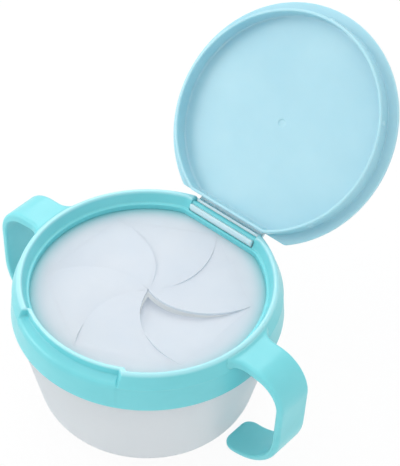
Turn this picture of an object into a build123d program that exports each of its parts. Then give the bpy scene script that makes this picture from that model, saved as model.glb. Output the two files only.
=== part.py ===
from build123d import *
import os
from math import asin, atan2, cos, pi, radians, sin, sqrt, tan

# Toddler snack container: a round bowl, a twist-off collar with two curled handles and a
# thumb notch, a soft membrane slit into six petals, and a flip lid that snaps on a bar.
# Millimetres, +Z up. The origin is the middle of the bowl's resting face. The hinge is at
# the back (+Y), the thumb notch at the front (-Y), the handles stand out along +X and -X.
# The lid is modelled open, leaning back on its stop.

# ---- driving sizes -------------------------------------------------------------------
rim_height = 68.0          # top of the collar's rim above the table
rim_radius = 53.0          # outer edge of the collar's rim
running_gap = 0.3          # between pieces that pass each other
seat_gap = 0.1             # between pieces that are clamped on each other

# collar ring, in widths from the rim's outer edge and drops from the rim's top
lip_width = 1.8            # flat top of the rim
lip_edge = 0.4             # chamfer on the rim's top edges
shoulder_flare = 2.2       # how far the wall has spread at the shoulder line
shoulder_drop = 6.3
shoulder_step = 0.3        # the fine step that runs round the shoulder
skirt_flare = 3.2          # how far the wall has spread at the bottom
skirt_drop = 17.4
skirt_wall = 2.4           # at the bottom edge
ledge_reach = 4.8          # from the rim's outer edge in to the ledge's edge
ledge_land = 1.2           # nearly level top of the ledge
ledge_drop = 4.9
seat_drop = 7.5            # underside of the ledge, where the membrane is clamped

# thumb notch in the rim
notch_half_angle = 28.5
notch_lip = 1.0            # thickness of the upright lip inside it
notch_floor_drop = 5.6     # foot of the sloping floor's inner end
notch_cove = 2.2           # sloping corner between the lip and the floor

# hinge: a bar between two lugs, a pocket in front of and below it, a hook on the lid
hinge_inset = 5.0          # hinge axis from the rim's outer edge
hinge_drop = 3.0
bar_radius = 1.45
bar_clearance = 0.08       # radial, between bar and hook
hook_wall = 1.87
hook_open_side = 100.0     # degrees of the hook left open to snap on the bar
lug_gap_half = 17.4        # half the gap between the lugs
lug_length = 6.6
lug_slope = 2.2            # how far the lug's inner face leans back
chord_inset = 9.0          # straight rear side of the opening, from the rim's outer edge
chord_ledge = 0.9          # level top in front of the pocket
sill_width = 2.0           # rear wall of the pocket, level with the hook's underside

# bowl
neck_inset = 0.1           # neck's outer face, from the rim's outer edge
neck_wall = 1.9
bowl_overhang = 1.5        # bowl's shoulder, in from the skirt's outer edge
bowl_taper = 10.8          # how far the side has drawn in at the foot
bowl_wall = 2.0
shoulder_wall = 2.2        # thickness of the shoulder the neck stands on
foot_round = 14.7
foot_bands = 4             # cones that stand in for the rounded foot
inner_foot_cut = 7.5       # sloping corner between the inner wall and the floor
thread_room = 0.9          # between neck and skirt, taken up by the screw thread

# membrane
bead_height = 1.6
bead_width = 1.8
sheet_thickness = 1.2
slit_end_radius = 43.0
slit_width = 0.8
slit_sweep = 46.0          # turn of each slit from the middle to its end, in degrees
petal_count = 6
root_end_gap = 1.0         # the folding edge stops short of the slits by this much

# lid
lid_open_angle = 133.0
lid_inset = 1.1            # lid's edge, in from the rim's outer edge
lid_thickness = 2.1
lid_outer_edge = 1.1       # chamfer round the plate's outer face
lid_inner_edge = 0.3       # and round the face that meets the rim
lid_corner_round = 1.6
lid_chord_inset = 9.2      # straight rear edge of the plate, from the rim's outer edge
plug_gap = 0.8             # between the plug ring and the ledge
plug_wall = 1.2
plug_depth = 6.9
plug_corner = 1.9          # rounded corners of the ring at the hinge
hook_side_gap = 0.5        # between the hook's ends and the lugs
bump_count = 5             # snap bumps round the plug ring
bump_pitch = 65.3          # degrees from one to the next
bump_radius = 1.2
bump_height = 0.6
bump_drop = 3.6
gate_radius = 1.6          # moulding mark in the middle of the lid
gate_depth = 0.25

# handles
handle_reach = 24.8        # outermost face of the strap, from the rim's outer edge
handle_width = 16.0
handle_root_width = 26.4   # where it leaves the collar
handle_flare = 11.0        # the root's spread ends this far from the rim's outer edge
handle_top_drop = 1.6
handle_depth = 58.7        # lowest face of the strap, below the rim
handle_fall = 1.2          # the top falls this much on its way out
handle_lean = 2.2          # the side comes in this much on its way down
handle_curl = 27.3         # from the outermost face back to the tongue's end
root_thickness = 3.2
root_thickening = 3.0      # more of it at the bend
side_thickness = 3.1
tongue_thickness = 2.8
upper_round = 15.0
upper_inner_round = 10.5
lower_round = 20.0
tongue_corner = 5.0

# ---- worked out from them ------------------------------------------------------------
skirt_bottom = rim_height - skirt_drop
skirt_radius = rim_radius + skirt_flare
skirt_bore = skirt_radius - skirt_wall
shoulder_z = rim_height - shoulder_drop
shoulder_radius = rim_radius + shoulder_flare
lip_inner = rim_radius - lip_width
ledge_radius = rim_radius - ledge_reach
ledge_z = rim_height - ledge_drop
seat_z = rim_height - seat_drop
notch_inside = ledge_radius + ledge_land
notch_outside = notch_inside + notch_lip
notch_floor_z = rim_height - notch_floor_drop

hinge_y = rim_radius - hinge_inset
hinge_z = rim_height - hinge_drop
hook_bore = bar_radius + bar_clearance
hook_radius = hook_bore + hook_wall
hook_half = lug_gap_half - hook_side_gap
chord_y = rim_radius - chord_inset
pocket_y = chord_y + chord_ledge
sill_z = hinge_z - hook_radius
pocket_z = sill_z - running_gap
pocket_radius = shoulder_radius - sill_width

neck_radius = rim_radius - neck_inset
neck_bore = neck_radius - neck_wall
neck_top = seat_z - 2 * seat_gap - bead_height
bowl_top = skirt_bottom - running_gap
bowl_top_radius = skirt_radius - bowl_overhang
foot_radius = bowl_top_radius - bowl_taper
foot_turn = atan2(bowl_top, bowl_taper)
foot_middle = foot_radius - foot_round * tan(foot_turn / 2)

sheet_top = seat_z - seat_gap
sheet_bottom = sheet_top - sheet_thickness
bead_bottom = sheet_top - bead_height
bead_radius = skirt_bore - thread_room - running_gap
petal_step = 360.0 / petal_count
root_round = sheet_thickness / 2
root_inset = slit_end_radius * cos(pi / petal_count)
root_half = slit_end_radius * sin(pi / petal_count) - root_end_gap
opening_inset = root_inset + root_round + seat_gap

lid_radius = rim_radius - lid_inset
plug_radius = ledge_radius - plug_gap
plug_chord = chord_y - plug_gap - hinge_y

handle_out = rim_radius + handle_reach
handle_top = rim_height - handle_top_drop
handle_low = rim_height - handle_depth
tongue_end = handle_out - handle_curl

big = 4 * rim_radius       # longer than any piece, for cuts that run right through

# ---- the outside of the collar, shared by the collar and what grows out of it --------
with BuildPart() as collar_outside:
    with BuildSketch(Plane.XZ):
        with BuildLine():
            Polyline(
                (0, skirt_bottom),
                (skirt_radius, skirt_bottom),
                (shoulder_radius + shoulder_step, shoulder_z - shoulder_step),
                (shoulder_radius, shoulder_z),
                (rim_radius, rim_height),
                (0, rim_height),
                close=True,
            )
        make_face()
    revolve(axis=Axis.Z)

# ---- collar --------------------------------------------------------------------------
with BuildPart() as collar:
    with BuildSketch(Plane.XZ):
        with BuildLine():
            Polyline(
                (skirt_bore, skirt_bottom),
                (skirt_radius, skirt_bottom),
                (shoulder_radius + shoulder_step, shoulder_z - shoulder_step),
                (shoulder_radius, shoulder_z),
                (rim_radius, rim_height - lip_edge),
                (rim_radius - lip_edge, rim_height),
                (lip_inner + lip_edge, rim_height),
                (lip_inner, rim_height - lip_edge),
                (ledge_radius + ledge_land, ledge_z + shoulder_step),
                (ledge_radius, ledge_z),
                (ledge_radius, seat_z),
                (skirt_bore, seat_z),
                close=True,
            )
        make_face()
    revolve(axis=Axis.Z)

    # lugs and the straight rear side of the opening: a block that follows the outside
    with BuildSketch(Plane.YZ):
        with BuildLine():
            Polyline(
                (chord_y, seat_z),
                (chord_y, ledge_z),
                (pocket_y, ledge_z),
                (pocket_y + lug_slope, rim_height),
                (skirt_radius, rim_height),
                (skirt_radius, seat_z),
                close=True,
            )
        make_face()
    lug_block = extrude(amount=lug_gap_half + lug_length, both=True, mode=Mode.PRIVATE)
    add(lug_block & collar_outside.part)

    # pocket for the hook, with a low sill left at the back
    with BuildSketch(Plane.XY.offset(pocket_z)):
        Circle(pocket_radius)
        with Locations((0, pocket_y - big / 2)):
            Rectangle(big, big, mode=Mode.SUBTRACT)
        with Locations((lug_gap_half + big / 2, 0), (-lug_gap_half - big / 2, 0)):
            Rectangle(big, big, mode=Mode.SUBTRACT)
    extrude(amount=big, mode=Mode.SUBTRACT)
    with BuildSketch(Plane.XY.offset(sill_z)):
        with Locations((0, pocket_y + big / 2)):
            Rectangle(2 * lug_gap_half, big)
    extrude(amount=big, mode=Mode.SUBTRACT)

    # thumb notch: the rim is cut down to a sloping floor and an upright lip closes its inside
    notch_start = Plane.XZ.rotated((0, 0, -90 - notch_half_angle))
    with BuildSketch(notch_start):
        with BuildLine():
            Polyline(
                (notch_outside, rim_height + notch_cove),
                (notch_outside, notch_floor_z + notch_cove),
                (notch_outside + notch_cove, notch_floor_z),
                (shoulder_radius, shoulder_z),
                (skirt_radius, shoulder_z),
                (skirt_radius, rim_height + notch_cove),
                close=True,
            )
        make_face()
    revolve(axis=Axis.Z, revolution_arc=2 * notch_half_angle, mode=Mode.SUBTRACT)
    with BuildSketch(notch_start):
        with BuildLine():
            Polyline(
                (notch_inside, ledge_z + shoulder_step),
                (notch_inside, rim_height - lip_edge),
                (notch_inside + lip_edge, rim_height),
                (notch_outside, rim_height),
                (notch_outside, ledge_z + shoulder_step),
                close=True,
            )
        make_face()
    revolve(axis=Axis.Z, revolution_arc=2 * notch_half_angle)

    # the bar the lid snaps on
    with BuildSketch(Plane.YZ):
        with Locations((hinge_y, hinge_z)):
            Circle(bar_radius)
    extrude(amount=lug_gap_half + bar_radius, both=True)
collar.part.label = "collar"

# ---- handles -------------------------------------------------------------------------
handles = []
for side, node in ((1, "right_handle"), (-1, "left_handle")):
    with BuildPart() as handle:
        with BuildSketch(Plane.XZ):
            with BuildLine():
                outer = FilletPolyline(
                    (side * lip_inner, handle_top),
                    (side * handle_out, handle_top - handle_fall),
                    (side * (handle_out - handle_lean), handle_low),
                    (side * tongue_end, handle_low),
                    radius=(upper_round, lower_round),
                )
                bend_z = handle_top - root_thickness - root_thickening
                inner = FilletPolyline(
                    (side * lip_inner, handle_top - root_thickness),
                    (side * (handle_out - side_thickness), bend_z),
                    (side * (handle_out - handle_lean - side_thickness),
                     handle_low + tongue_thickness),
                    (side * tongue_end, handle_low + tongue_thickness),
                    radius=(upper_inner_round, lower_round - side_thickness),
                )
                Line(outer @ 0, inner @ 0)
                Line(outer @ 1, inner @ 1)
            make_face()
        extrude(amount=handle_root_width / 2, both=True)

        # seen from above the strap narrows from its root and ends in a rounded tongue
        with BuildSketch(Plane.XY.offset(rim_height / 2)):
            with BuildLine():
                root_side = handle_root_width / 2
                strap_side = handle_width / 2
                beyond = handle_out + handle_fall
                flare = TangentArc(
                    (side * (rim_radius + handle_flare), strap_side),
                    (side * rim_radius, root_side),
                    tangent=(-side, 0),
                )
                Polyline(
                    flare @ 0,
                    (side * beyond, strap_side),
                    (side * beyond, 0),
                    (side * lip_inner, 0),
                    (side * lip_inner, root_side),
                    flare @ 1,
                )
            make_face()
            mirror(about=Plane.XZ)
        upper = extrude(amount=rim_height / 2, mode=Mode.PRIVATE)
        with BuildSketch(Plane.XY):
            with Locations((side * (tongue_end + rim_radius / 2), 0)):
                RectangleRounded(rim_radius, handle_width, tongue_corner)
        lower = extrude(amount=rim_height / 2, mode=Mode.PRIVATE)
        add(upper + lower, mode=Mode.INTERSECT)
        add(collar_outside.part, mode=Mode.SUBTRACT)
    handle.part.label = node
    handles.append(handle.part)

# ---- bowl ----------------------------------------------------------------------------
with BuildPart() as bowl:
    with BuildSketch(Plane.XZ):
        with BuildLine():
            inner_foot = foot_radius - bowl_wall
            side_run = neck_bore - inner_foot
            side_rise = bowl_top - shoulder_wall - bowl_wall
            share = inner_foot_cut / sqrt(side_run ** 2 + side_rise ** 2)
            steps = [foot_turn * band / foot_bands for band in range(foot_bands + 1)]
            Polyline(
                (0, 0),
                *[(foot_middle + foot_round * sin(step), foot_round * (1 - cos(step))) for step in steps],
                (bowl_top_radius, bowl_top),
                (neck_radius, bowl_top),
                (neck_radius, neck_top),
                (neck_bore, neck_top),
                (neck_bore, bowl_top - shoulder_wall),
                (inner_foot + share * side_run, bowl_wall + share * side_rise),
                (inner_foot - inner_foot_cut, bowl_wall),
                (0, bowl_wall),
                close=True,
            )
        make_face()
    revolve(axis=Axis.Z)
bowl.part.label = "bowl"

# ---- membrane ------------------------------------------------------------------------
with BuildPart() as membrane_rim:
    with BuildSketch(Plane.XY.offset(sheet_bottom)):
        Circle(bead_radius)
    extrude(amount=sheet_thickness)
    with BuildSketch(Plane.XY.offset(bead_bottom)):
        Circle(bead_radius)
        Circle(bead_radius - bead_width, mode=Mode.SUBTRACT)
    extrude(amount=bead_height)
    with BuildSketch(Plane.XY.offset(bead_bottom)):
        RegularPolygon(opening_inset, petal_count, major_radius=False, rotation=30)
    extrude(amount=bead_height, mode=Mode.SUBTRACT)
membrane_rim.part.label = "membrane_rim"


def slit_point(radius, end_azimuth, shift):
    """A point beside the slit that ends at end_azimuth, moved shift mm across it.

    The slit is an Archimedean spiral: at a radius r its azimuth lies behind the end's by
    slit_sweep x (1 - r / slit_end_radius).
    """
    azimuth = radians(end_azimuth - slit_sweep * (1 - radius / slit_end_radius))
    lean = radius * radians(slit_sweep) / slit_end_radius
    length = sqrt(1 + lean ** 2)
    along_radius = radius - shift * lean / length
    across = shift / length
    x = along_radius * cos(azimuth) - across * sin(azimuth)
    y = along_radius * sin(azimuth) + across * cos(azimuth)
    return (x, y)


petals = []
for index in range(petal_count):
    turn = petal_step * index
    outward = (cos(radians(turn)), sin(radians(turn)), 0)
    along = (-sin(radians(turn)), cos(radians(turn)), 0)
    root = (root_inset * outward[0], root_inset * outward[1], sheet_bottom + root_round)
    tip = 1.3 * slit_width
    past = slit_end_radius + slit_width
    stations = (tip, (tip + past) / 2, past)
    before = [slit_point(radius, turn - petal_step / 2, slit_width / 2) for radius in stations]
    after = [slit_point(radius, turn + petal_step / 2, -slit_width / 2) for radius in stations]
    with BuildPart() as petal:
        with BuildSketch(Plane.XY.offset(sheet_bottom)):
            with BuildLine():
                ThreePointArc(*before)
                ThreePointArc(*after)
                Line(before[0], after[0])
                Line(before[-1], after[-1])
            make_face()
        extrude(amount=sheet_thickness)
        split(bisect_by=Plane(root, z_dir=outward), keep=Keep.BOTTOM)
        # the folding edge comes to a ridge on the fold's axis
        with BuildSketch(Plane(root, x_dir=outward, z_dir=along)):
            RegularPolygon(root_round, 4)
        extrude(amount=root_half, both=True)
    petal.part.label = "petal_" + str(index + 1)
    petals.append(petal.part)

# ---- lid -----------------------------------------------------------------------------
# The lid's own plane has its origin on the hinge axis and the axes of the closed lid,
# turned back by the open angle. The middle of the lid is at (0, -hinge_y) on it.
open_turn = radians(lid_open_angle)
lid_plane = Plane(
    origin=(0, hinge_y, hinge_z),
    x_dir=(1, 0, 0),
    z_dir=(0, sin(open_turn), cos(open_turn)),
)
side_plane = Plane(origin=lid_plane.origin, x_dir=lid_plane.y_dir, z_dir=(1, 0, 0))
lid_up = Axis(lid_plane.origin, lid_plane.z_dir)
plate_bottom = hinge_drop + running_gap
plate_top = plate_bottom + lid_thickness
plug_bottom = hinge_drop - plug_depth
plate_chord = hinge_inset - lid_chord_inset
middle = (0, -hinge_y)

with BuildPart() as lid:
    # plate with its straight rear edge
    with BuildSketch(lid_plane.offset(plate_bottom)) as plate_outline:
        with Locations(middle):
            Circle(lid_radius)
        with Locations((0, plate_chord + big / 2)):
            Rectangle(big, big, mode=Mode.SUBTRACT)
        fillet(plate_outline.vertices(), lid_corner_round)
    extrude(amount=lid_thickness)
    chamfer(lid.faces().sort_by(lid_up)[-1].edges(), lid_outer_edge)
    chamfer(lid.faces().sort_by(lid_up)[0].edges(), lid_inner_edge)

    # plug ring, straight where it passes the hinge
    with BuildSketch(lid_plane.offset(plug_bottom)) as plug_outline:
        with Locations(middle):
            Circle(plug_radius)
        with Locations((0, plug_chord + big / 2)):
            Rectangle(big, big, mode=Mode.SUBTRACT)
        fillet(plug_outline.vertices(), plug_corner)
        offset(amount=-plug_wall, mode=Mode.SUBTRACT)
    extrude(amount=plate_bottom - plug_bottom + lid_thickness / 2)

    # snap bumps, the middle one at the front, and the moulding mark
    for step in range(bump_count):
        bump_turn = radians(bump_pitch * (step - (bump_count - 1) / 2))
        outward = lid_plane.x_dir * sin(bump_turn) - lid_plane.y_dir * cos(bump_turn)
        place = lid_plane.from_local_coords((0, -hinge_y, hinge_drop - bump_drop))
        ring_side = plug_radius - plug_wall / 2
        with BuildSketch(Plane(place + outward * ring_side, z_dir=outward)):
            Circle(bump_radius)
        extrude(amount=plug_wall / 2 + bump_height)
    with BuildSketch(lid_plane.offset(plate_bottom)):
        with Locations(middle):
            Circle(gate_radius)
    extrude(amount=gate_depth, mode=Mode.SUBTRACT)

    # tongue of the plate and the hook that snaps on the bar
    with BuildSketch(side_plane):
        with BuildLine():
            reach = sqrt(hook_bore ** 2 + plate_top ** 2)
            touch = asin(hook_bore / reach) + asin(hook_radius / reach)
            Polyline(
                (0, 0),
                (-hook_bore - plug_wall, 0),
                (-hook_bore - plug_wall, plate_bottom),
                (plate_chord - lid_corner_round, plate_bottom),
                (plate_chord - lid_corner_round, plate_top),
                (-hook_bore, plate_top),
                (hook_radius * cos(touch), hook_radius * sin(touch)),
                close=True,
            )
        make_face()
        with BuildLine():
            back = CenterArc((0, 0), hook_radius, hook_open_side - 180, 270 - hook_open_side)
            Line(back @ 0, (0, 0))
            Line(back @ 1, (0, 0))
        make_face()
        Circle(hook_bore, mode=Mode.SUBTRACT)
    extrude(amount=hook_half, both=True)
lid.part.label = "lid"

# ---- write the pieces ----------------------------------------------------------------
os.makedirs("parts", exist_ok=True)
for piece in (bowl.part, collar.part, *handles, membrane_rim.part, *petals, lid.part):
    export_step(piece, "parts/" + piece.label + ".step")
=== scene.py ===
from math import asin, atan2, cos, pi, radians, sin, sqrt

import bpy
import numpy as np
from mathutils import Matrix, Vector


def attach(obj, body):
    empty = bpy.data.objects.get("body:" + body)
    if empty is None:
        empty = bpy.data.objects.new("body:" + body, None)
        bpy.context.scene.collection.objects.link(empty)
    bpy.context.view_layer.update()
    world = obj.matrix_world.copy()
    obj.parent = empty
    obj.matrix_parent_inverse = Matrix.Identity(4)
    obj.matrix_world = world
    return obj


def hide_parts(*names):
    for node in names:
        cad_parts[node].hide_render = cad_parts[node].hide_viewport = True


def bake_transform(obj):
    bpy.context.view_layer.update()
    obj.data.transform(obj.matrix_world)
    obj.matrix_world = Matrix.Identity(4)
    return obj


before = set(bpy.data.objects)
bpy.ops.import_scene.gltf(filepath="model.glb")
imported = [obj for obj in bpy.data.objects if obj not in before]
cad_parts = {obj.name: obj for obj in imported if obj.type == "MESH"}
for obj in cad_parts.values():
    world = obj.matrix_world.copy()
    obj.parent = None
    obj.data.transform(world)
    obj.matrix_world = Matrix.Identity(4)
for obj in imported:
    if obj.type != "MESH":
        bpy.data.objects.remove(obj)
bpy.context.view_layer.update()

# Toddler snack container: every piece below is a surface worked out in millimetres in the
# frame of the CAD model, then written to its mesh in metres. +Z is up, the hinge is at the
# back (+Y), the thumb notch at the front (-Y).
MM = 0.001

# ---- sizes ------------------------------------------------------------------------------
# Mostly those of the CAD model. The notch, the straps with their roots, the pocket's front
# wall and the snap bumps follow the photograph a little more closely. All are in mm, unless
# they are degrees.
RIM_TOP = 68.0
RIM_RADIUS = 53.0
LIP_INNER = 51.2
SHOULDER_RADIUS = 55.2
SHOULDER_Z = 61.7
SHOULDER_STEP = 0.3
SKIRT_RADIUS = 56.2
SKIRT_BORE = 53.8
SKIRT_BOTTOM = 50.6
LEDGE_RADIUS = 48.2        # the collar's opening, over the membrane
LEDGE_LAND = 1.2           # width of the ledge's flat top
LEDGE_Z = 63.1
SEAT_Z = 60.5              # the ledge's underside, on the membrane's edge

NOTCH_LIP = 50.9           # outer face of the upright lip inside the notch
NOTCH_FLOOR_Z = 64.2       # where the floor meets that lip
NOTCH_RIGHT = (150.0, 149.4, 148.5, 147.1)  # ends, in degrees from the hinge, from the
NOTCH_LEFT = (151.6, 151.9, 152.2, 152.4)   # shoulder in to the lip

HINGE_Y = 48.0
HINGE_Z = 65.0
BAR_RADIUS = 1.45
HOOK_BORE = 1.53
HOOK_RADIUS = 3.4
HOOK_HALF = 16.9           # half of the hook's length along the bar
LUG_GAP_HALF = 17.4        # half of the way between the lugs
LUG_SIDE_END = 24.0        # where the sections beside the lugs start to turn
LUG_TOP_Y = 47.1           # front edge of the lugs' tops
CHORD_Y = 44.0             # front of the straight ledge
POCKET_Y = 45.06           # front wall, floor and outer end of the pocket under the hook
POCKET_Z = 61.3
POCKET_RADIUS = 53.2
SILL_Z = 61.6

NECK_RADIUS = 52.9
NECK_BORE = 51.0
NECK_TOP = 58.7
NECK_DEPTH = 2.2           # how far the neck's bore goes down into the bowl
BOWL_TOP = 50.3
BOWL_TOP_RADIUS = 54.7
FOOT_RADIUS = 43.9
FOOT_ROUND = 14.7
BOWL_WALL = 2.0

SHEET_TOP = 60.4
SHEET_THICKNESS = 1.2
PAINTED_GLOW_START = 39.5          # radius from which the collar's turquoise light is painted on the sheet
PAINTED_GLOW_SHARE = 0.75          # and how strong that painted glow is at the collar's opening
BEAD_BOTTOM = 58.8
BEAD_RADIUS = 52.6
BEAD_WIDTH = 1.8
SLIT_END = 43.0
SLIT_SWEEP = 46.0          # degrees that a slit turns on its way out
PETALS = 6
# how each petal hangs: sag along its second side, the sag's place on the way to the fold,
# sag of its first side near the fold, droop at its tip
PETAL_HANG = ((0.0, 0.5, 0.0, 4.2), (0.6, 0.55, 0.0, 0.0), (0.8, 0.5, 0.0, 0.1),
              (0.9, 0.5, 0.0, 0.1), (1.0, 0.5, 0.0, 0.2), (0.6, 0.55, 1.1, 0.3))

LID_TURN = radians(133.0)
LID_RADIUS = 51.9
LID_CHORD = 43.8           # straight rear edge, from the middle of the lid
LID_CORNER = 1.6
LID_OUTER_EDGE = 1.15      # rounding of the outer face's edge
LID_INNER_EDGE = 0.3
PLATE_BOTTOM = 3.3         # heights in the lid's own frame, above the hinge axis
PLATE_TOP = 5.4
PLUG_RADIUS = 47.4
PLUG_CHORD = 43.2
PLUG_CORNER = 1.9
PLUG_WALL = 1.2
PLUG_TIP = -3.9
BUMPS = 5                  # snap bumps on the ring, evenly to both sides of the front
BUMP_STEP = 65.3           # degrees between them
BUMP_RADIUS = 1.3
BUMP_HEIGHT = 0.6
BUMP_Z = -0.6
# the moulding mark in the middle of the inner face: (radius, height) from its foot up
MARK = ((2.4, 0), (1.75, 0), (1.6, 0.04), (1.5, 0.16), (1.35, 0.22), (1.0, 0.25))
HOOK_END = radians(-80.0)  # where the hook's lip ends, below the bar

TONGUE_END = 49.0
# the strap's outer and inner line, as corners (out from the axis, height), and their bends
STRAP_OUTER = ((LIP_INNER, 66.4), (78.2, 65.2), (76.7, 9.3), (TONGUE_END, 9.3))
STRAP_INNER = ((LIP_INNER, 63.0), (75.0, 60.2), (73.8, 11.8), (TONGUE_END, 11.8))
OUTER_BENDS = (0, 15.5, 24.0, 0)
INNER_BENDS = (0, 11.0, 21.5, 0)
STRAP_HALF = 8.9           # half of the strap's width, and of its root's at the collar
ROOT_HALF = 11.8
FLARE_END = 58.8           # where the root has narrowed to the strap
TONGUE_CORNER = 5.6        # rounding of the strap's free end, seen from above
TONGUE_TIP = 1.25          # and seen from the side

THREAD_LEAD = 11.938       # rise per turn: 0.0019 m for each radian
THREAD_STARTS = 3
THREAD_RIDGE = 0.55        # height of the ridges
NECK_THREAD = (52.0, 57.2)      # from and to which height they run
COLLAR_THREAD = (52.4, 58.6)

WHITE = (1.0, 1.0, 1.0, 1.0)
SURROUND = 0.8             # level of the white world


# ---- shapes -----------------------------------------------------------------------------
def smooth_step(value, start, end):
    """0 before start, 1 after end, and 3t^2 - 2t^3 between them."""
    t = np.clip((value - start) / (end - start), 0.0, 1.0)
    return t * t * (3.0 - 2.0 * t)


def soft_max(a, b, width=0.3):
    """The larger of two values, with the corner where they cross rounded over width: half
    of (their sum plus the root of their squared difference plus the squared width)."""
    return 0.5 * (a + b + np.sqrt((a - b) ** 2 + width ** 2))


def rounded(corners, radii, arc_points=6, edges=(0.12, 0.5, 0.88), closed=True, share=0.46):
    """A line through corners with each corner replaced by a circular arc.

    corners has shape (..., k, 2). The arc of a corner c runs from a to b on the conic
    ((1-t)^2 a + 2w t(1-t) c + t^2 b) / ((1-t)^2 + 2w t(1-t) + t^2), which is a circle when
    w is the sine of half the corner's angle. a and b lie radius / tan(half angle) from c,
    and take up at most share of the shorter edge. edges are the places of the further
    points on the straight part after each arc."""
    corners = np.asarray(corners, float)
    radii = np.broadcast_to(np.asarray(radii, float), corners.shape[:-1])[..., None]
    before = np.roll(corners, 1, axis=-2) - corners
    after = np.roll(corners, -1, axis=-2) - corners
    before_length = np.linalg.norm(before, axis=-1, keepdims=True)
    after_length = np.linalg.norm(after, axis=-1, keepdims=True)
    before = before / np.maximum(before_length, 1e-9)
    after = after / np.maximum(after_length, 1e-9)
    cosine = np.clip((before * after).sum(-1, keepdims=True), -1.0, 1.0)
    half = np.maximum(0.5 * np.arccos(cosine), 1e-3)
    room = share * np.minimum(before_length, after_length)
    trim = np.clip(radii / np.tan(half), 0.04 * room, room)
    a, b = corners + before * trim, corners + after * trim
    t = np.linspace(0.0, 1.0, arc_points)[:, None]
    w = np.sin(half)[..., None, :]
    top = (1 - t) ** 2 * a[..., None, :] + t ** 2 * b[..., None, :]
    top = top + 2 * w * t * (1 - t) * corners[..., None, :]
    arcs = top / ((1 - t) ** 2 + 2 * w * t * (1 - t) + t ** 2)
    places = np.asarray(edges, float)[:, None]
    next_a = np.roll(a, -1, axis=-2)
    straight = (1 - places) * b[..., None, :] + places * next_a[..., None, :]
    line = np.concatenate([arcs, straight], axis=-2)
    if closed:
        return line.reshape(corners.shape[:-2] + (-1, 2))
    # an open line keeps its two ends as they are
    ends = corners[..., [0, -1], :]
    first = (1 - places) * ends[..., 0, None, :] + places * a[..., 1, None, :]
    last = (1 - places) * b[..., -2, None, :] + places * ends[..., 1, None, :]
    middle = line[..., 1:-1, :, :].copy()
    middle[..., -1, arc_points:, :] = last
    middle = middle.reshape(corners.shape[:-2] + (-1, 2))
    return np.concatenate([ends[..., :1, :], first, middle, ends[..., 1:, :]], axis=-2)


def closed_mesh(name, points, faces, crease):
    """A piece of points in mm and a list of face arrays, smooth but for edges sharper than
    crease degrees. Its faces are turned over where the volume they enclose, the sum of
    a . (b x c) over their triangles, comes out negative."""
    fans = [f[:, [0, i, i + 1]] for f in faces for i in range(1, f.shape[1] - 1)]
    t = points[np.vstack(fans)]
    if np.einsum("ij,ij->i", t[:, 0], np.cross(t[:, 1], t[:, 2])).sum() < 0:
        faces = [f[:, ::-1] for f in faces]
    mesh = bpy.data.meshes.new(name)
    mesh.from_pydata((points * MM).tolist(), [], [f for g in faces for f in g.tolist()])
    mesh.polygons.foreach_set("use_smooth", np.ones(len(mesh.polygons), bool))
    mesh.set_sharp_from_angle(angle=radians(crease))
    mesh.update()
    piece = bpy.data.objects.new(name, mesh)
    bpy.context.scene.collection.objects.link(piece)
    return piece


def skin(name, rows, ring=False, first=None, last=None, crease=50.0):
    """A closed mesh over rows of points in mm, an array of shape (rows, stations, 3).

    Each row closes on itself. With ring the last row joins the first. Otherwise the ends
    close on the points first and last, or on the middle of their row."""
    count, stations = rows.shape[:2]
    points = rows.reshape(-1, 3)
    index = np.arange(count * stations).reshape(count, stations)
    if ring:
        index = np.vstack([index, index[:1]])
    a, d = index[:-1], index[1:]
    quads = np.stack([a, np.roll(a, -1, 1), np.roll(d, -1, 1), d], -1).reshape(-1, 4)
    faces = [quads]
    if not ring:
        first = rows[0].mean(0) if first is None else np.asarray(first, float)
        last = rows[-1].mean(0) if last is None else np.asarray(last, float)
        points = np.vstack([points, first, last])
        low, high = index[0], index[-1]
        tip = np.full(stations, count * stations)
        faces.append(np.stack([tip, np.roll(low, -1), low], -1))
        faces.append(np.stack([tip + 1, high, np.roll(high, -1)], -1))
    return closed_mesh(name, points, faces, crease)


def section(*corners):
    """Corners of two or more values, each a number or an array over the stations, as one
    array of shape (stations, corners, values)."""
    values = np.broadcast_arrays(*[value for corner in corners for value in corner])
    return np.stack(values, -1).reshape(values[0].shape + (len(corners), -1))


def around(r, azimuth, z):
    """Points round +Z: x = r cos azimuth, y = r sin azimuth, for numbers or arrays."""
    return np.stack(np.broadcast_arrays(r * np.cos(azimuth), r * np.sin(azimuth), z), -1)


def full_turn(count):
    """count azimuths evenly round the axis."""
    return np.linspace(0, 2 * pi, count, endpoint=False)


# ---- materials --------------------------------------------------------------------------
def srgb(r, g, b):
    """An sRGB colour of 0 to 255 as linear RGBA."""
    c = np.array([r, g, b], float) / 255.0
    c = np.where(c <= 0.04045, c / 12.92, ((c + 0.055) / 1.055) ** 2.4)
    return (*c.tolist(), 1.0)


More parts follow.
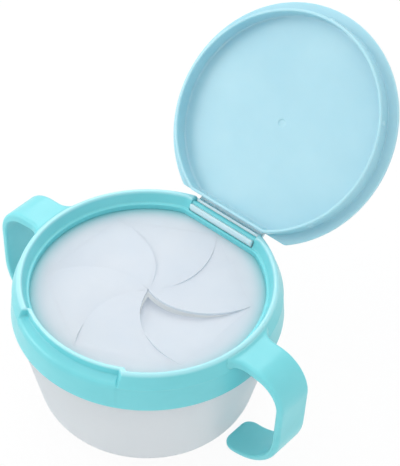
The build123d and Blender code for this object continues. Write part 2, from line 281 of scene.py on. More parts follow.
class Finish:
    """A material under construction: a tree with one Principled shader and its links."""

    def __init__(self, name):
        self.material = bpy.data.materials.new(name)
        self.material.use_nodes = True
        self.tree = self.material.node_tree
        self.shader = self.tree.nodes["Principled BSDF"]
        self.place = self.node("ShaderNodeTexCoord").outputs["Object"]

    def node(self, kind, **values):
        """A new node of the kind, with the given properties."""
        made = self.tree.nodes.new(kind)
        for key, value in values.items():
            setattr(made, key, value)
        return made

    def link(self, source, target):
        self.tree.links.new(source, target)

    def noise(self, scale, detail=3.0, roughness=0.5, stretch=(1, 1, 1)):
        """Noise of scale features per metre, squeezed along an axis by stretch."""
        mapping = self.node("ShaderNodeMapping")
        mapping.inputs["Scale"].default_value = stretch
        self.link(self.place, mapping.inputs["Vector"])
        made = self.node("ShaderNodeTexNoise")
        made.inputs["Scale"].default_value = scale
        made.inputs["Detail"].default_value = detail
        made.inputs["Roughness"].default_value = roughness
        self.link(mapping.outputs["Vector"], made.inputs["Vector"])
        return made.outputs["Fac"]

    def between(self, value, low, high, start=0.35, end=0.65):
        """value from start to end, carried over to low to high."""
        made = self.node("ShaderNodeMapRange")
        for name, number in zip(("From Min", "From Max", "To Min", "To Max"),
                                (start, end, low, high)):
            made.inputs[name].default_value = number
        self.link(value, made.inputs["Value"])
        return made.outputs["Result"]

    def colours(self, value, *stops):
        """A ramp of (place, colour) stops over value."""
        ramp = self.node("ShaderNodeValToRGB")
        elements = ramp.color_ramp.elements
        while len(elements) < len(stops):
            elements.new(0.5)
        for element, (place, colour) in zip(elements, stops):
            element.position = place
            element.color = colour
        self.link(value, ramp.inputs["Fac"])
        return ramp.outputs["Color"]

    def mixed(self, share, colour, other):
        """From the linked colour to a fixed other one, as share goes from 0 to 1."""
        made = self.node("ShaderNodeMix", data_type="RGBA")
        self.link(share, made.inputs["Factor"])
        self.link(colour, made.inputs["A"])
        made.inputs["B"].default_value = other
        return made.outputs["Result"]

    def relief(self, *layers):
        """Bump nodes in a chain, one for each (height value, depth in mm)."""
        normal = None
        for height, depth in layers:
            bump = self.node("ShaderNodeBump")
            bump.inputs["Distance"].default_value = depth * MM
            bump.inputs["Strength"].default_value = 1.0
            self.link(height, bump.inputs["Height"])
            if normal is not None:
                self.link(normal, bump.inputs["Normal"])
            normal = bump.outputs["Normal"]
        self.link(normal, self.shader.inputs["Normal"])

    def let_through(self, colour, share):
        """Gives a share of the surface to light that passes through it, scattered."""
        through = self.node("ShaderNodeBsdfTranslucent")
        self.link(colour, through.inputs["Color"])
        mix = self.node("ShaderNodeMixShader")
        mix.inputs["Fac"].default_value = share
        self.link(self.shader.outputs["BSDF"], mix.inputs[1])
        self.link(through.outputs["BSDF"], mix.inputs[2])
        self.link(mix.outputs["Shader"], self.tree.nodes["Material Output"].inputs["Surface"])

    def set(self, **values):
        """Sets the shader's own inputs; an underscore stands for a space in their names."""
        for key, value in values.items():
            self.shader.inputs[key.replace("_", " ")].default_value = value


def moulded_plastic(name, tint, deep, pale, milk, gloss, depth, thin=None):
    """Coloured polypropylene: a slightly milky satin with slow colour flow from the gate,
    a fine orange peel and the faint grain of a blasted mould. milk is the share of the light
    that scatters inside, over a distance of depth mm, and gloss the mean roughness. thin is
    a paler colour painted on the very top of the rim, rising with height: a painted sheen,
    for the light that the thin rounded top lets through and throws back."""
    painted_sheen_from, painted_sheen_full, painted_sheen_share = RIM_TOP - 1.3, RIM_TOP - 0.25, 0.5
    f = Finish(name)
    flow = f.noise(26.0, 4.0, 0.55, (1.0, 1.0, 1.6))
    colour = f.colours(flow, (0.30, deep), (0.52, tint), (0.74, pale))
    # painted sheen: the very top of the rim is painted paler, rising with height
    if thin:
        height = f.node("ShaderNodeSeparateXYZ")
        f.link(f.place, height.inputs["Vector"])
        share = f.between(height.outputs["Z"], 0.0, painted_sheen_share, painted_sheen_from * MM,
                          painted_sheen_full * MM)
        colour = f.mixed(share, colour, thin)
    f.link(colour, f.shader.inputs["Base Color"])
    patches = f.noise(95.0, 3.0, 0.6)
    f.link(f.between(patches, gloss - 0.04, gloss + 0.06), f.shader.inputs["Roughness"])
    f.relief((f.noise(900.0, 2.0, 0.5), 0.012), (f.noise(6500.0, 2.0, 0.6), 0.004))
    f.set(IOR=1.49, Specular_IOR_Level=0.7, Subsurface_Weight=milk,
          Subsurface_Scale=depth * MM, Subsurface_Radius=(0.7, 1.0, 1.0))
    return f.material


def bowl_plastic():
    """Natural polypropylene: frosted, nearly colourless, and thin enough that a good part
    of the light that meets the wall passes through it, scattered."""
    f = Finish("bowl_natural_plastic")
    flow = f.noise(22.0, 4.0, 0.55, (1.0, 1.0, 0.5))
    tint = f.colours(flow, (0.30, srgb(243, 246, 248)), (0.70, srgb(249, 251, 252)))
    f.link(tint, f.shader.inputs["Base Color"])
    f.link(f.between(f.noise(110.0, 3.0, 0.6), 0.36, 0.48), f.shader.inputs["Roughness"])
    f.relief((f.noise(700.0, 2.0, 0.5), 0.014), (f.noise(5200.0, 2.0, 0.6), 0.005))
    f.set(IOR=1.49, Subsurface_Weight=0.5, Subsurface_Scale=0.004,
          Subsurface_Radius=(1.0, 1.0, 1.0))
    f.let_through(tint, 0.55)
    return f.material


def membrane_rubber():
    """Soft translucent elastomer: matt, with a satin bloom and a fine ground surface. Part
    of the light that meets the sheet passes through it, scattered. Towards the collar a
    turquoise glow is painted into its colour, for the light that the collar's wall throws
    back and lets through onto the sheet, as the cube of the way from the glow's start
    radius to the opening."""
    f = Finish("membrane_soft_rubber")
    flow = f.noise(34.0, 4.0, 0.6)
    tint = f.colours(flow, (0.30, srgb(230, 236, 243)), (0.70, srgb(236, 240, 245)))
    flat = f.node("ShaderNodeVectorMath", operation="MULTIPLY")
    flat.inputs[1].default_value = (1, 1, 0)
    f.link(f.place, flat.inputs[0])
    radius = f.node("ShaderNodeVectorMath", operation="LENGTH")
    f.link(flat.outputs["Vector"], radius.inputs[0])
    way = f.between(radius.outputs["Value"], 0.0, 1.0, PAINTED_GLOW_START * MM, LEDGE_RADIUS * MM)
    cubed = f.node("ShaderNodeMath", operation="POWER")
    cubed.inputs[1].default_value = 3.0
    f.link(way, cubed.inputs[0])
    share = f.between(cubed.outputs["Value"], 0.0, PAINTED_GLOW_SHARE, 0.0, 1.0)
    # painted glow: the collar's turquoise light on the sheet, mixed into its colour
    tint = f.mixed(share, tint, srgb(104, 216, 222))
    f.link(tint, f.shader.inputs["Base Color"])
    f.link(f.between(f.noise(140.0, 3.0, 0.6), 0.42, 0.58), f.shader.inputs["Roughness"])
    f.relief((f.noise(420.0, 3.0, 0.5), 0.02), (f.noise(4200.0, 2.0, 0.6), 0.005))
    f.set(IOR=1.42, Sheen_Weight=0.06, Sheen_Roughness=0.5)
    f.let_through(tint, 0.4)
    return f.material


# thin paints a sheen on the collar's rim top, a painted highlight in its colour
COLLAR_PLASTIC = moulded_plastic(
    "collar_turquoise_plastic", srgb(116, 211, 219), srgb(109, 206, 214), srgb(123, 215, 223),
    milk=0.35, gloss=0.34, depth=2.0, thin=srgb(200, 235, 242))
LID_PLASTIC = moulded_plastic(
    "lid_pale_blue_plastic", srgb(168, 212, 224), srgb(163, 209, 222), srgb(173, 215, 226),
    milk=0.45, gloss=0.36, depth=2.2)
# the hook is the lid's own plastic painted paler: a painted highlight for the sheen on its
# round surface
HOOK_HIGHLIGHT_PLASTIC = moulded_plastic(
    "lid_hook_painted_highlight_plastic", srgb(205, 231, 238), srgb(201, 228, 236), srgb(209, 233, 240),
    milk=0.45, gloss=0.30, depth=2.2)
BOWL_PLASTIC = bowl_plastic()
MEMBRANE_RUBBER = membrane_rubber()


def fit(piece, material, body, slot, *nodes):
    """Gives a piece its material and body, and hides the CAD nodes it stands for. slot is not
    used.
    """
    piece.data.materials.append(material)
    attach(piece, body)
    if nodes:
        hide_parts(*nodes)


# ---- bowl -------------------------------------------------------------------------------
def make_bowl():
    """The bowl's section, with its corners rounded, turned about the axis. The section runs
    from the middle of the floor out, up the side, round the neck and back down inside."""
    inner_foot = FOOT_RADIUS - BOWL_WALL
    corners = [
        (0.0, 0.0), (FOOT_RADIUS, 0.0), (BOWL_TOP_RADIUS, BOWL_TOP),
        (NECK_RADIUS, BOWL_TOP), (NECK_RADIUS, NECK_TOP), (NECK_BORE, NECK_TOP),
        (NECK_BORE, BOWL_TOP - NECK_DEPTH), (inner_foot, BOWL_WALL), (0.0, BOWL_WALL),
    ]
    radii = [0, FOOT_ROUND, 0.5, 0.4, 0.5, 0.5, 0.8, FOOT_ROUND - BOWL_WALL, 0]
    places = np.linspace(0.04, 0.96, 9)
    line = rounded(corners, radii, arc_points=14, edges=places, closed=False)
    rows = around(line[1:-1, :1], full_turn(320), line[1:-1, 1:])
    bowl = skin("bowl_shell", rows, first=(0, 0, line[0][1]), last=(0, 0, line[-1][1]))
    fit(bowl, BOWL_PLASTIC, "bowl", "bowl_plastic", "bowl")


# ---- collar -----------------------------------------------------------------------------
def collar_stations():
    """The places of the collar's sections, as base points on the rim's circle, directions
    towards the inside, and weights of the hinge pocket and of the thumb notch. The notch
    has a weight for each of four corners of the section, because its ends lean.

    Near the hinge the sections are cut square across, along -Y, so that they follow the
    lugs' sides. Further round they turn to the radial direction."""
    # the side wall of a lug, about as deep as the pocket, gives the pocket's weight
    depth = 6.5
    side = rounded([(0.0, depth), (LUG_GAP_HALF, depth), (LUG_GAP_HALF + 0.05, 0.0),
                    (LUG_SIDE_END, 0.0)], [0, 0.45, 0.8, 0], arc_points=9,
                   edges=(0.1, 0.3, 0.5, 0.7, 0.9), closed=False)
    x, pocket = side[:, 0], side[:, 1] / depth
    start = asin(LUG_SIDE_END / RIM_RADIUS)
    # sections stand closest where the notch's ends are
    near = np.radians(np.arange(min(NOTCH_RIGHT + NOTCH_LEFT) - 1.5,
                                max(NOTCH_RIGHT + NOTCH_LEFT) + 2.5, 0.06))
    further = np.concatenate([np.linspace(start, near[0], 150, endpoint=False)[1:], near,
                              np.linspace(near[-1], pi, 70)[1:]])
    angle = np.concatenate([np.arcsin(x / RIM_RADIUS), further])
    pocket = np.concatenate([pocket, np.zeros(len(further))])
    angle = np.concatenate([angle, -angle[::-1][:-1]])
    pocket = np.concatenate([pocket, pocket[::-1][:-1]])
    away = np.abs(angle)
    slope = radians(1.25)
    notch = np.stack([np.where(angle > 0, smooth_step(away, right, right + slope),
                               smooth_step(away, left, left + slope))
                      for right, left in np.radians(list(zip(NOTCH_RIGHT, NOTCH_LEFT)))], 1)
    # the direction turns from square across (0) to radial (the angle itself)
    lean = np.sign(angle) * away * smooth_step(away, start - 0.02, start + 0.45)
    base = RIM_RADIUS * np.stack([np.sin(angle), np.cos(angle)], -1)
    inward = -np.stack([np.sin(lean), np.cos(lean)], -1)
    return base, inward, pocket, notch, away


def make_collar():
    """One closed ring: a section of eleven rounded corners carried round the rim.

    On a station's line, a point t mm inward from the rim's circle lies on a circle of radius
    R where |base + t inward| = R, and on the straight ledge where its y is the chord's. The
    ring, the notch and the hinge pocket each give every corner a t and a height, and the
    station's weights mix them."""
    base, inward, pocket, notch, away = collar_stations()
    dot = (base * inward).sum(-1)
    hinge_side, out_of_reach = 0.6, -30.0   # radians from the hinge, and mm

    def circle(radius):
        return -dot - np.sqrt(dot ** 2 - RIM_RADIUS ** 2 + radius ** 2)

    def across(y):
        # the straight ledge is out of reach away from the hinge's side of the ring
        t = (y - base[:, 1]) / np.minimum(inward[:, 1], -0.2)
        return np.where(away < hinge_side, t, out_of_reach)

    slope = (RIM_RADIUS - SHOULDER_RADIUS) / (RIM_TOP - SHOULDER_Z)
    middle_z = (RIM_TOP + SHOULDER_Z) / 2
    middle_line = SHOULDER_RADIUS + slope * (middle_z - SHOULDER_Z)
    wall_t, ledge_t = circle(LEDGE_RADIUS + LEDGE_LAND), circle(LEDGE_RADIUS)
    straight = smooth_step(across(POCKET_Y) - wall_t, -0.6, 0.4)
    # for each corner: (t, z, rounding) on the ring, in the notch, in the pocket
    ring = [
        (circle(SKIRT_BORE), SKIRT_BOTTOM, 0.35),
        (circle(SKIRT_RADIUS), SKIRT_BOTTOM, 0.7),
        (circle(SHOULDER_RADIUS - 0.02), SHOULDER_Z - SHOULDER_STEP, 0.4),
        (circle(SHOULDER_RADIUS + 0.1), SHOULDER_Z, 0.25),
        (circle(middle_line), middle_z, 0.8),
        (circle(RIM_RADIUS), RIM_TOP, 1.6),
        (soft_max(circle(LIP_INNER), across(LUG_TOP_Y)), RIM_TOP, 0.7),
        (soft_max(wall_t, across(POCKET_Y)),
         LEDGE_Z + SHOULDER_STEP * (1 - straight), 0.8),
        (soft_max(ledge_t, across(CHORD_Y)), LEDGE_Z, 0.4),
        (soft_max(ledge_t, across(CHORD_Y)), SEAT_Z, 0.2),
        (circle(SKIRT_BORE), SEAT_Z, 0.5),
    ]
    in_notch = list(ring)
    in_notch[2] = (circle(SHOULDER_RADIUS + 0.35), SHOULDER_Z - 0.9, 0.8)
    in_notch[3] = (circle(SHOULDER_RADIUS - 0.2), SHOULDER_Z + 1.3, 2.2)
    in_notch[4] = (circle(NOTCH_LIP), NOTCH_FLOOR_Z, 0.7)
    in_notch[5] = (circle(NOTCH_LIP), RIM_TOP, 0.45)
    in_notch[6] = (circle(LEDGE_RADIUS + LEDGE_LAND), RIM_TOP, 0.45)
    in_pocket = list(ring)
    in_pocket[3] = (circle(SHOULDER_RADIUS), SILL_Z, 0.4)
    in_pocket[4] = (circle(POCKET_RADIUS), SILL_Z, 0.1)
    in_pocket[5] = (circle(POCKET_RADIUS), POCKET_Z, 0.1)
    in_pocket[6] = (across(POCKET_Y), POCKET_Z, 0.3)
    in_pocket[7] = (across(POCKET_Y), LEDGE_Z, 0.12)

    plain, notched, pocketed = section(*ring), section(*in_notch), section(*in_pocket)
    weight = np.zeros((len(base), len(ring), 1))
    weight[:, 2:7, 0] = notch[:, [0, 0, 1, 2, 3]]
    mixed = plain + weight * (notched - plain) + pocket[:, None, None] * (pocketed - plain)
    line = rounded(mixed[..., :2], mixed[..., 2], arc_points=7, share=0.8)
    flat = base[:, None, :] + line[..., 0, None] * inward[:, None, :]
    rows = np.concatenate([flat, line[..., 1, None]], -1)
    collar = skin("collar_ring", rows, ring=True, crease=60)
    fit(collar, COLLAR_PLASTIC, "collar", "collar_plastic", "collar")


def make_hinge_bar():
    """A round bar along X between the lugs: a circle of the bar's radius, with its ends
    sunk in the lugs."""
    turn = full_turn(48)
    x = np.linspace(-LUG_GAP_HALF - BAR_RADIUS, LUG_GAP_HALF + BAR_RADIUS, 24)
    rows = np.stack(np.broadcast_arrays(x[:, None], HINGE_Y + BAR_RADIUS * np.cos(turn),
                                        HINGE_Z + BAR_RADIUS * np.sin(turn)), -1)
    fit(skin("hinge_bar", rows), COLLAR_PLASTIC, "collar", "collar_plastic")


# ---- handles ----------------------------------------------------------------------------
def make_handle(side, name, node):
    """A strap between an outer and an inner line, each made of straight runs and arcs. At
    every station the section is a rounded rectangle from the inner line to the outer one.
    Seen from above, the root spreads along a circular arc that is tangent to the strap, and
    the tongue ends in a rounded rectangle. Near the collar's cone the skin moves out along
    its own normal by w (1 - sqrt(1 - (1 - d / w)^2)), a quarter circle of radius w over the
    distance d."""
    places = np.sin(np.linspace(0.015, 0.995, 44) * pi / 2)
    outer, inner = (
        rounded(corners, bends, arc_points=30, edges=places, closed=False, share=0.9)
        for corners, bends in ((STRAP_OUTER, OUTER_BENDS), (STRAP_INNER, INNER_BENDS)))
    across = outer - inner
    thickness = np.linalg.norm(across, axis=-1)
    across = across / thickness[:, None]
    x, z = outer.T
    wider = ROOT_HALF - STRAP_HALF
    flare = ((FLARE_END - RIM_RADIUS) ** 2 + wider ** 2) / (2 * wider)
    run = np.clip(FLARE_END - x, 0, FLARE_END - RIM_RADIUS)
    root = STRAP_HALF + flare - np.sqrt(flare ** 2 - run ** 2)
    left = np.clip(TONGUE_CORNER - (x - TONGUE_END), 0, TONGUE_CORNER)
    tongue = STRAP_HALF - TONGUE_CORNER + np.sqrt(TONGUE_CORNER ** 2 - left ** 2)
    upper = z > RIM_TOP / 2
    half = np.where(upper, root, tongue)
    left = np.where(upper, 0, np.clip(TONGUE_TIP - (x - TONGUE_END), 0, TONGUE_TIP))
    inset = TONGUE_TIP - np.sqrt(TONGUE_TIP ** 2 - left ** 2)
    draft = 0.35
    corners = section((inset, -half), (thickness - inset, draft - half),
                      (thickness - inset, half - draft), (inset, half))
    line = rounded(corners, [0.9, 1.6, 1.6, 0.9], arc_points=9,
                   edges=(0.05, 0.2, 0.4, 0.6, 0.8, 0.95), share=0.6)
    flat = inner[:, None, :] + line[..., 0, None] * across[:, None, :]
    cone = SHOULDER_RADIUS + (RIM_RADIUS - SHOULDER_RADIUS) * (
        (flat[..., 1] - SHOULDER_Z) / (RIM_TOP - SHOULDER_Z))
    root_round = 1.1
    away = np.clip((np.hypot(flat[..., 0], line[..., 1]) - cone) / root_round, 0, 1)
    away = np.where(flat[..., 1] > RIM_TOP / 2, away, 1.0)
    swell = root_round * (1 - np.sqrt(1 - (1 - away) ** 2))
    along = np.roll(line, -1, 1) - np.roll(line, 1, 1)
    along = along / np.maximum(np.linalg.norm(along, axis=-1, keepdims=True), 1e-6)
    line = line + swell[..., None] * np.stack([along[..., 1], -along[..., 0]], -1)
    flat = inner[:, None, :] + line[..., 0, None] * across[:, None, :]
    # the swelling stays below the rim's rounded edge
    height = np.minimum(flat[..., 1], RIM_TOP - 0.75)
    rows = np.stack([side * flat[..., 0], line[..., 1], height], -1)
    fit(skin(name, rows), COLLAR_PLASTIC, "collar", "collar_plastic", node)


# ---- membrane ---------------------------------------------------------------------------
def make_membrane_rim():
    """The clamped edge: a section turned about the axis, with an inner side that makes a
    hexagon. The inner radius at an azimuth is the inset of the hexagon's sides over the
    cosine of the angle from the nearest side's middle."""
    turn = full_turn(720)
    share = 2 * pi / PETALS
    off = (turn + share / 2) % share - share / 2
    inner = SLIT_END * cos(share / 2) / np.cos(off)
    low = SHEET_TOP - SHEET_THICKNESS
    bead = BEAD_RADIUS - BEAD_WIDTH
    corners = section((inner, low), (inner, SHEET_TOP), (BEAD_RADIUS, SHEET_TOP),
                      (BEAD_RADIUS, BEAD_BOTTOM), (bead, BEAD_BOTTOM), (bead, low))
    line = rounded(corners, [0.004, 0.004, 0.3, 0.3, 0.2, 0.1], arc_points=4)
    rows = around(line[..., 0], turn[:, None], line[..., 1])
    rim = skin("membrane_edge", rows, ring=True, crease=40)
    fit(rim, MEMBRANE_RUBBER, "membrane", "membrane", "membrane_rim")


def make_petal(number, sag, sag_place, near_sag, droop):
    """A leaf of the sheet between two slits. A slit is the spiral
    azimuth = end - sweep (1 - r / slit end). From the tip to the fold, arcs of radius r
    change into the straight fold. The leaf hangs by sag towards its second side, on a hump
    p^2 (1 - p)^2 whose top is at sag_place of the way to the fold, and by near_sag at its
    first side near the fold. It droops at the tip, and from there less and less: along the
    second side by 1 - p^1.8, along the first one as far as three quarters of the way."""
    share = 2 * pi / PETALS
    turn = share * (number - 1)
    gap = 0.03          # of each slit
    tip = 0.35          # radius at which the leaf starts
    overlap = 0.03      # with the sheet's edge, at the fold
    grid_a, grid_b = np.meshgrid(np.linspace(0, 1, 90),
                                 0.5 - 0.5 * np.cos(np.linspace(0, pi, 49)), indexing="ij")
    grid_r = tip + grid_a * (SLIT_END - tip)
    side = (grid_b - 0.5) * share * (1 - gap / np.maximum(grid_r * share, 0.4))
    azimuth = turn + side - radians(SLIT_SWEEP) * (1 - grid_r / SLIT_END)
    fold = cos(pi / PETALS) / np.cos(side)
    radius = grid_r * (1 + grid_a ** 4 * (fold - 1)) + overlap * grid_a ** 30
    power = np.log(0.5) / np.log(sag_place)
    hump = 16 * grid_a ** (2 * power) * (1 - grid_a ** power) ** 2
    near_fold = smooth_step(grid_a, 0.55, 0.85) * (1 - smooth_step(grid_a, 0.88, 1.0))
    low = sag * hump * grid_b ** 1.6 + near_sag * near_fold * (1 - grid_b) ** 2
    low = low + droop * (grid_b * (1 - grid_a ** 1.8)
                         + (1 - grid_b) * (1 - smooth_step(grid_a, 0.0, 0.75)))
    top = around(radius, azimuth, SHEET_TOP - low)
    piece = leaf("petal_leaf_" + str(number), top, top - [0, 0, SHEET_THICKNESS])
    piece.data.materials.append(MEMBRANE_RUBBER)
    # two points, just outside the fold and 2.6 mm inside it, which nothing here uses
    root = SLIT_END * cos(pi / PETALS)
    start, end = around(np.array([root + 0.4, root - 2.6]), turn,
                        SHEET_TOP - SHEET_THICKNESS / 2)
    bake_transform(piece)
    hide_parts("petal_" + str(number))


def leaf(name, top, bottom):
    """A thin closed leaf from two grids of the same shape: its faces are the top grid, the
    bottom grid turned over, and a band of quads round the outline."""
    rows, columns = top.shape[:2]
    index = np.arange(rows * columns).reshape(rows, columns)
    quads = np.stack([index[:-1, :-1], index[1:, :-1], index[1:, 1:], index[:-1, 1:]], -1)
    quads = quads.reshape(-1, 4)
    outline = np.concatenate([index[:-1, 0], index[-1, :-1], index[:0:-1, -1],
                              index[0, :0:-1]])
    following = np.roll(outline, -1)
    under = rows * columns
    band = np.stack([outline, outline + under, following + under, following], -1)
    faces = np.vstack([quads, quads[:, ::-1] + under, band])
    points = np.vstack([top.reshape(-1, 3), bottom.reshape(-1, 3)])
    return closed_mesh(name, points, [faces], 40)


# ---- screw thread -----------------------------------------------------------------------
def make_thread(name, start, wall, way, low, high, body, slot, material):
    """One ridge of the three-start thread: a rounded trapezium carried along the helix
    z = lead x azimuth / 360 degrees + start, on a wall of the given radius. way is 1 for
    a ridge that stands outward. Its height grows and falls on smooth steps at both ends."""
    sunk = 0.15         # depth of the ridge's foot in the wall
    least = 0.05        # height at the ridge's ends
    foot_half, crest_half = 0.95, 0.5
    run_out = 0.5       # rise over which the ridge grows and falls
    z = np.linspace(low, high, 150)
    azimuth = (z - start) / THREAD_LEAD * 2 * pi
    rise = np.minimum(smooth_step(z, low, low + run_out),
                      smooth_step(-z, -high, -high + run_out))
    height = least + THREAD_RIDGE * rise
    corners = section((-sunk, -foot_half), (height, -crest_half), (height, crest_half),
                      (-sunk, foot_half))
    line = rounded(corners, [0.05, 0.25, 0.25, 0.05], arc_points=5)
    rows = around(wall + way * line[..., 0], azimuth[:, None], z[:, None] + line[..., 1])
    fit(skin(name, rows), material, body, slot)


# ---- lid --------------------------------------------------------------------------------
def lid_place(points):
    """Points of the closed lid's frame, whose origin is on the hinge axis, swung open over
    the back by the angle a: y' = y cos a + z sin a, z' = z cos a - y sin a."""
    x, y, z = points[..., 0], points[..., 1], points[..., 2]
    s, c = sin(LID_TURN), cos(LID_TURN)
    return np.stack([x, HINGE_Y + y * c + z * s, HINGE_Z - y * s + z * c], -1)


def d_outline(angle, radius, chord, corner):
    """Distance from the middle to a circle cut by a straight side, in the direction angle
    from the side's middle, with the two corners rounded by an arc tangent to both."""
    away = np.abs(angle)
    centre_y = chord - corner
    centre_x = sqrt((radius - corner) ** 2 - centre_y ** 2)
    along = centre_x * np.sin(away) + centre_y * np.cos(away)
    inside = np.maximum(along ** 2 - centre_x ** 2 - centre_y ** 2 + corner ** 2, 0)
    arc = along + np.sqrt(inside)
    straight = chord / np.maximum(np.cos(away), 0.05)
    r = np.where(away < atan2(centre_x, chord), straight, arc)
    return np.where(away > atan2(centre_x, centre_y), radius, r)


def make_lid():
    """Plate, plug ring and snap bumps in one closed skin. Every row is a closed outline
    round the middle of the lid: first the outer face from its middle to the rounded edge,
    then the flange, down the ring's outside, round its tip, up its inside and over the
    inner face to the moulding mark in the middle."""
    angle = np.radians(np.concatenate([
        np.linspace(0, 19, 12, endpoint=False), np.linspace(19, 36, 100, endpoint=False),
        np.linspace(36, 180, 290)]))
    angle = np.concatenate([angle, -angle[::-1][1:-1]])
    plate = d_outline(angle, LID_RADIUS, LID_CHORD, LID_CORNER)
    ring = d_outline(angle, PLUG_RADIUS, PLUG_CHORD, PLUG_CORNER)
    bore = d_outline(angle, PLUG_RADIUS - PLUG_WALL, PLUG_CHORD - PLUG_WALL,
                     PLUG_CORNER - PLUG_WALL)
    fillet, tip_round, floor_round = 0.4, 0.45, 0.9
    rows = []

    def row(r, z):
        rows.append((r + 0 * angle, z + 0 * angle))

    for part in (0.04, 0.25, 0.5, 0.75, 0.93, 0.985):
        row(part * (plate - LID_OUTER_EDGE), PLATE_TOP)
    for turn in np.linspace(0, pi / 2, 10):
        row(plate - LID_OUTER_EDGE * (1 - sin(turn)),
            PLATE_TOP - LID_OUTER_EDGE * (1 - cos(turn)))
    for turn in np.linspace(pi / 2, pi, 5):
        row(plate - LID_INNER_EDGE * (1 - sin(turn)),
            PLATE_BOTTOM + LID_INNER_EDGE * (1 + cos(turn)))
    flange_out = plate - LID_INNER_EDGE
    flange_in = np.minimum(ring + fillet, flange_out - 0.01)
    for part in (0.06, 0.5, 0.94):
        row(flange_out + part * (flange_in - flange_out), PLATE_BOTTOM)
    foot = flange_in - ring
    for turn in np.linspace(0, pi / 2, 6):
        row(ring + foot * (1 - sin(turn)), PLATE_BOTTOM - foot * (1 - cos(turn)))
    wall_top, wall_low = PLATE_BOTTOM - foot, PLUG_TIP + tip_round
    first_bump = len(rows)
    for part in np.linspace(0.04, 0.96, 26):
        row(ring, wall_top + part * (wall_low - wall_top))
    last_bump = len(rows)
    for turn in np.linspace(0, pi / 2, 7):
        row(ring - tip_round * (1 - cos(turn)), wall_low - tip_round * sin(turn))
    inner = bore + (ring - bore) * (tip_round / PLUG_WALL)
    for turn in np.linspace(pi / 2, pi, 7):
        row(inner + (inner - bore) * cos(turn), wall_low - tip_round * sin(turn))
    for part in (0.05, 0.35, 0.65, 0.95):
        row(bore, wall_low + part * (PLATE_BOTTOM - floor_round - wall_low))
    for turn in np.linspace(0, pi / 2, 8):
        row(bore - floor_round * (1 - cos(turn)),
            PLATE_BOTTOM - floor_round + floor_round * sin(turn))
    for part in (0.985, 0.94, 0.8, 0.6, 0.4, 0.2, 0.1):
        row(part * (bore - floor_round), PLATE_BOTTOM)
    for r, z in MARK:
        row(r, PLATE_BOTTOM + z)
    r = np.stack([pair[0] for pair in rows])
    z = np.stack([pair[1] for pair in rows])
    # the snap bumps: domes on the ring's outside, their height falling as (1 - d^2)^0.7
    span = slice(first_bump, last_bump)
    for step in range(BUMPS):
        place = pi + radians(BUMP_STEP * (step - BUMPS // 2))
        arc = PLUG_RADIUS * ((angle - place + pi) % (2 * pi) - pi)
        far = np.sqrt(arc[None, :] ** 2 + (z[span] - BUMP_Z) ** 2) / BUMP_RADIUS
        r[span] = r[span] + BUMP_HEIGHT * np.clip(1 - far ** 2, 0, 1) ** 0.7
    x = r * np.sin(angle)
    y = r * np.cos(angle) - HINGE_Y
    grid = lid_place(np.stack([x, y, z], -1))
    first = lid_place(np.array([0.0, -HINGE_Y, PLATE_TOP]))
    last = lid_place(np.array([0.0, -HINGE_Y, PLATE_BOTTOM + MARK[-1][1]]))
    lid = skin("lid_plate", grid, first=first, last=last, crease=60)
    fit(lid, LID_PLASTIC, "lid", "lid_plastic", "lid")


def make_hook():
    """The C that snaps on the bar, with the tongue that carries it: a rounded outline in
    the YZ plane carried along X, drawn in at both ends on a quarter circle. The outside is
    straight from the tongue's top corner to where a tangent from there touches the C."""
    reach = sqrt(HOOK_BORE ** 2 + PLATE_TOP ** 2)
    touch = asin(HOOK_BORE / reach) + asin(HOOK_RADIUS / reach)
    soft = 0.35
    back = np.linspace(touch, HOOK_END + soft / HOOK_RADIUS, 44)
    outside = HOOK_RADIUS * np.stack([np.cos(back), np.sin(back)], -1)
    bore = np.linspace(HOOK_END + soft / HOOK_BORE, pi, 48)
    inside = HOOK_BORE * np.stack([np.cos(bore), np.sin(bore)], -1)
    end = np.array([cos(HOOK_END), sin(HOOK_END)])
    lip = rounded([outside[-1], HOOK_RADIUS * end, HOOK_BORE * end, inside[0]],
                  [0, soft, soft, 0], arc_points=6, closed=False)[1:-1]
    # the tongue lies a hair inside the plate's two faces, so that none coincide
    wall_y, root_y, hair = -HOOK_BORE - PLUG_WALL, -LID_OUTER_EDGE - 4.5, 0.01
    tongue = rounded([(-HOOK_BORE, 0.0), (wall_y, 0.0), (wall_y, PLATE_BOTTOM + hair),
                      (root_y, PLATE_BOTTOM + hair), (root_y, PLATE_TOP - hair),
                      (-HOOK_BORE, PLATE_TOP - hair)],
                     [0, 0.25, 0.3, 0.1, 0.1, 0], arc_points=5, closed=False)
    line = np.concatenate([outside, lip, inside[:-1], tongue])
    step = np.roll(line, -1, 0) - np.roll(line, 1, 0)
    step = step / np.maximum(np.linalg.norm(step, axis=1, keepdims=True), 1e-9)
    normal = np.stack([-step[:, 1], step[:, 0]], -1)
    twice = (line[:, 0] * np.roll(line[:, 1], -1) - np.roll(line[:, 0], -1) * line[:, 1])
    normal = normal * (1 if twice.sum() > 0 else -1)
    turn = np.linspace(0, pi / 2, 6)
    ends = HOOK_HALF - soft * (1 - np.sin(turn))
    inset = soft * (1 - np.cos(turn))
    middle = np.linspace(-0.97, 0.97, 25) * (HOOK_HALF - soft)
    x = np.concatenate([-ends[::-1], middle, ends])
    inset = np.concatenate([inset[::-1], 0 * middle, inset])
    flat = line[None] + inset[:, None, None] * normal[None]
    points = np.stack(np.broadcast_arrays(x[:, None], flat[..., 0], flat[..., 1]), -1)
    hook = skin("lid_hook", lid_place(points), crease=40)
    # its paler plastic is a painted highlight
    fit(hook, HOOK_HIGHLIGHT_PLASTIC, "lid", "lid_plastic")


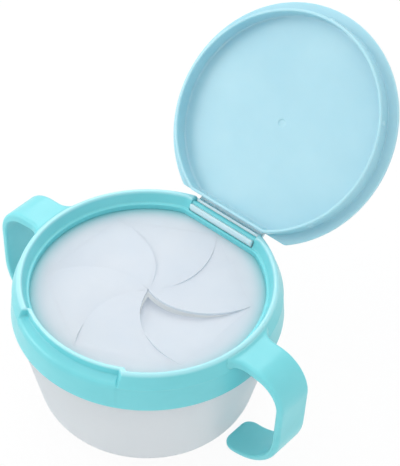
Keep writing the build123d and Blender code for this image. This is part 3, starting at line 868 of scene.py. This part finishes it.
make_bowl()
make_collar()
make_hinge_bar()
make_handle(1, "handle_right", "right_handle")
make_handle(-1, "handle_left", "left_handle")
make_membrane_rim()
for number, hang in enumerate(PETAL_HANG):
    make_petal(number + 1, *hang)
for start in range(THREAD_STARTS):
    pitch = THREAD_LEAD / THREAD_STARTS
    make_thread("neck_thread_" + str(start + 1), pitch * start, NECK_RADIUS, 1,
                *NECK_THREAD, "bowl", "bowl_plastic", BOWL_PLASTIC)
    make_thread("collar_thread_" + str(start + 1), pitch * (start + 0.5), SKIRT_BORE, -1,
                *COLLAR_THREAD, "collar", "collar_plastic", COLLAR_PLASTIC)
make_lid()
make_hook()


# ---- stage, light and camera ------------------------------------------------------------
def looked_at(tree):
    """1 where the camera, glossy and transmitted rays look, and 0 for all other light."""
    path = tree.nodes.new("ShaderNodeLightPath")
    total = path.outputs["Is Camera Ray"]
    for name in ("Is Glossy Ray", "Is Transmission Ray"):
        either = tree.nodes.new("ShaderNodeMath")
        either.operation = "MAXIMUM"
        tree.links.new(total, either.inputs[0])
        tree.links.new(path.outputs[name], either.inputs[1])
        total = either.outputs[0]
    return total


def seen_white(material, share):
    """Adds plain white, of strength 1, to what the camera, glossy and transmitted rays see
    of a material, in the given share, and leaves its shadows the rest."""
    tree = material.node_tree
    out = tree.nodes["Material Output"]
    surface = out.inputs["Surface"].links[0].from_socket
    white = tree.nodes.new("ShaderNodeEmission")
    white.inputs["Color"].default_value = WHITE
    part = tree.nodes.new("ShaderNodeMath")
    part.operation = "MULTIPLY"
    part.inputs[1].default_value = share
    tree.links.new(looked_at(tree), part.inputs[0])
    mix = tree.nodes.new("ShaderNodeMixShader")
    tree.links.new(part.outputs[0], mix.inputs["Fac"])
    tree.links.new(surface, mix.inputs[1])
    tree.links.new(white.outputs[0], mix.inputs[2])
    tree.links.new(mix.outputs[0], out.inputs["Surface"])


def make_floor():
    """A plain white floor, far larger than the view."""
    half = 6.0
    mesh = bpy.data.meshes.new("floor")
    corners = [(-half, -half, 0), (half, -half, 0), (half, half, 0), (-half, half, 0)]
    mesh.from_pydata(corners, [], [(0, 1, 2, 3)])
    floor = bpy.data.objects.new("floor", mesh)
    bpy.context.scene.collection.objects.link(floor)
    f = Finish("floor_white")
    f.set(Base_Color=(0.9, 0.9, 0.9, 1), Roughness=0.9)
    seen_white(f.material, 0.93)
    mesh.materials.append(f.material)


def make_world(level):
    """An even white surround of the given level, seen as plain white."""
    world = bpy.data.worlds.new("soft_surround")
    world.use_nodes = True
    tree = world.node_tree
    background = tree.nodes["Background"]
    strength = tree.nodes.new("ShaderNodeMapRange")
    strength.inputs["To Min"].default_value = level
    strength.inputs["To Max"].default_value = 1.0
    tree.links.new(looked_at(tree), strength.inputs["Value"])
    tree.links.new(strength.outputs["Result"], background.inputs["Strength"])
    background.inputs["Color"].default_value = WHITE
    bpy.context.scene.world = world


def soft_box(name, place, aim, size, power):
    """A square lamp of the given size and power, in metres and watts, that stands at place
    and faces the point aim."""
    light = bpy.data.lights.new(name, "AREA")
    light.shape = "SQUARE"
    light.size = size
    light.energy = power
    lamp = bpy.data.objects.new(name, light)
    lamp.location = place
    lamp.rotation_mode = "QUATERNION"
    lamp.rotation_quaternion = (Vector(aim) - Vector(place)).to_track_quat("-Z", "Y")
    bpy.context.scene.collection.objects.link(lamp)


def make_camera():
    """The photograph's viewpoint, 648 mm from the middle of the rim. It looks down by 43.8
    degrees, from 39.5 degrees round to the right of the front."""
    place = Vector((304.6, -337.6, 529.1)) * MM
    forward = Vector((-0.4591, 0.5569, -0.6922)).normalized()
    right = forward.cross(Vector((0, 0, 1))).normalized()
    up = right.cross(forward)
    roll = 0.0385
    turned_right = right * cos(roll) + up * sin(roll)
    turned_up = -right * sin(roll) + up * cos(roll)
    data = bpy.data.cameras.new("camera")
    data.sensor_width = 36.0
    pixels_high = 466
    focal_pixels = 1600.35
    data.lens = data.sensor_width * focal_pixels / pixels_high
    data.clip_start, data.clip_end = 0.01, 50.0
    camera = bpy.data.objects.new("camera", data)
    turn = Matrix((turned_right, turned_up, -forward)).transposed()
    camera.matrix_world = Matrix.Translation(place) @ turn.to_4x4()
    bpy.context.scene.collection.objects.link(camera)
    bpy.context.scene.camera = camera


make_floor()
make_world(SURROUND)
soft_box("overhead", (-0.25, -0.1, 1.3), (0, 0.03, 0.05), 1.0, 2.5)
soft_box("front_left", (-1.15, -0.9, 0.8), (0, 0, 0.05), 0.9, 7.2)
soft_box("behind", (-0.9, 1.1, 1.2), (0, 0.02, 0.06), 1.2, 9.4)
soft_box("right", (1.4, -0.3, 0.6), (0, 0, 0.06), 1.0, 1.2)
make_camera()
bpy.context.scene.view_settings.view_transform = "Standard"
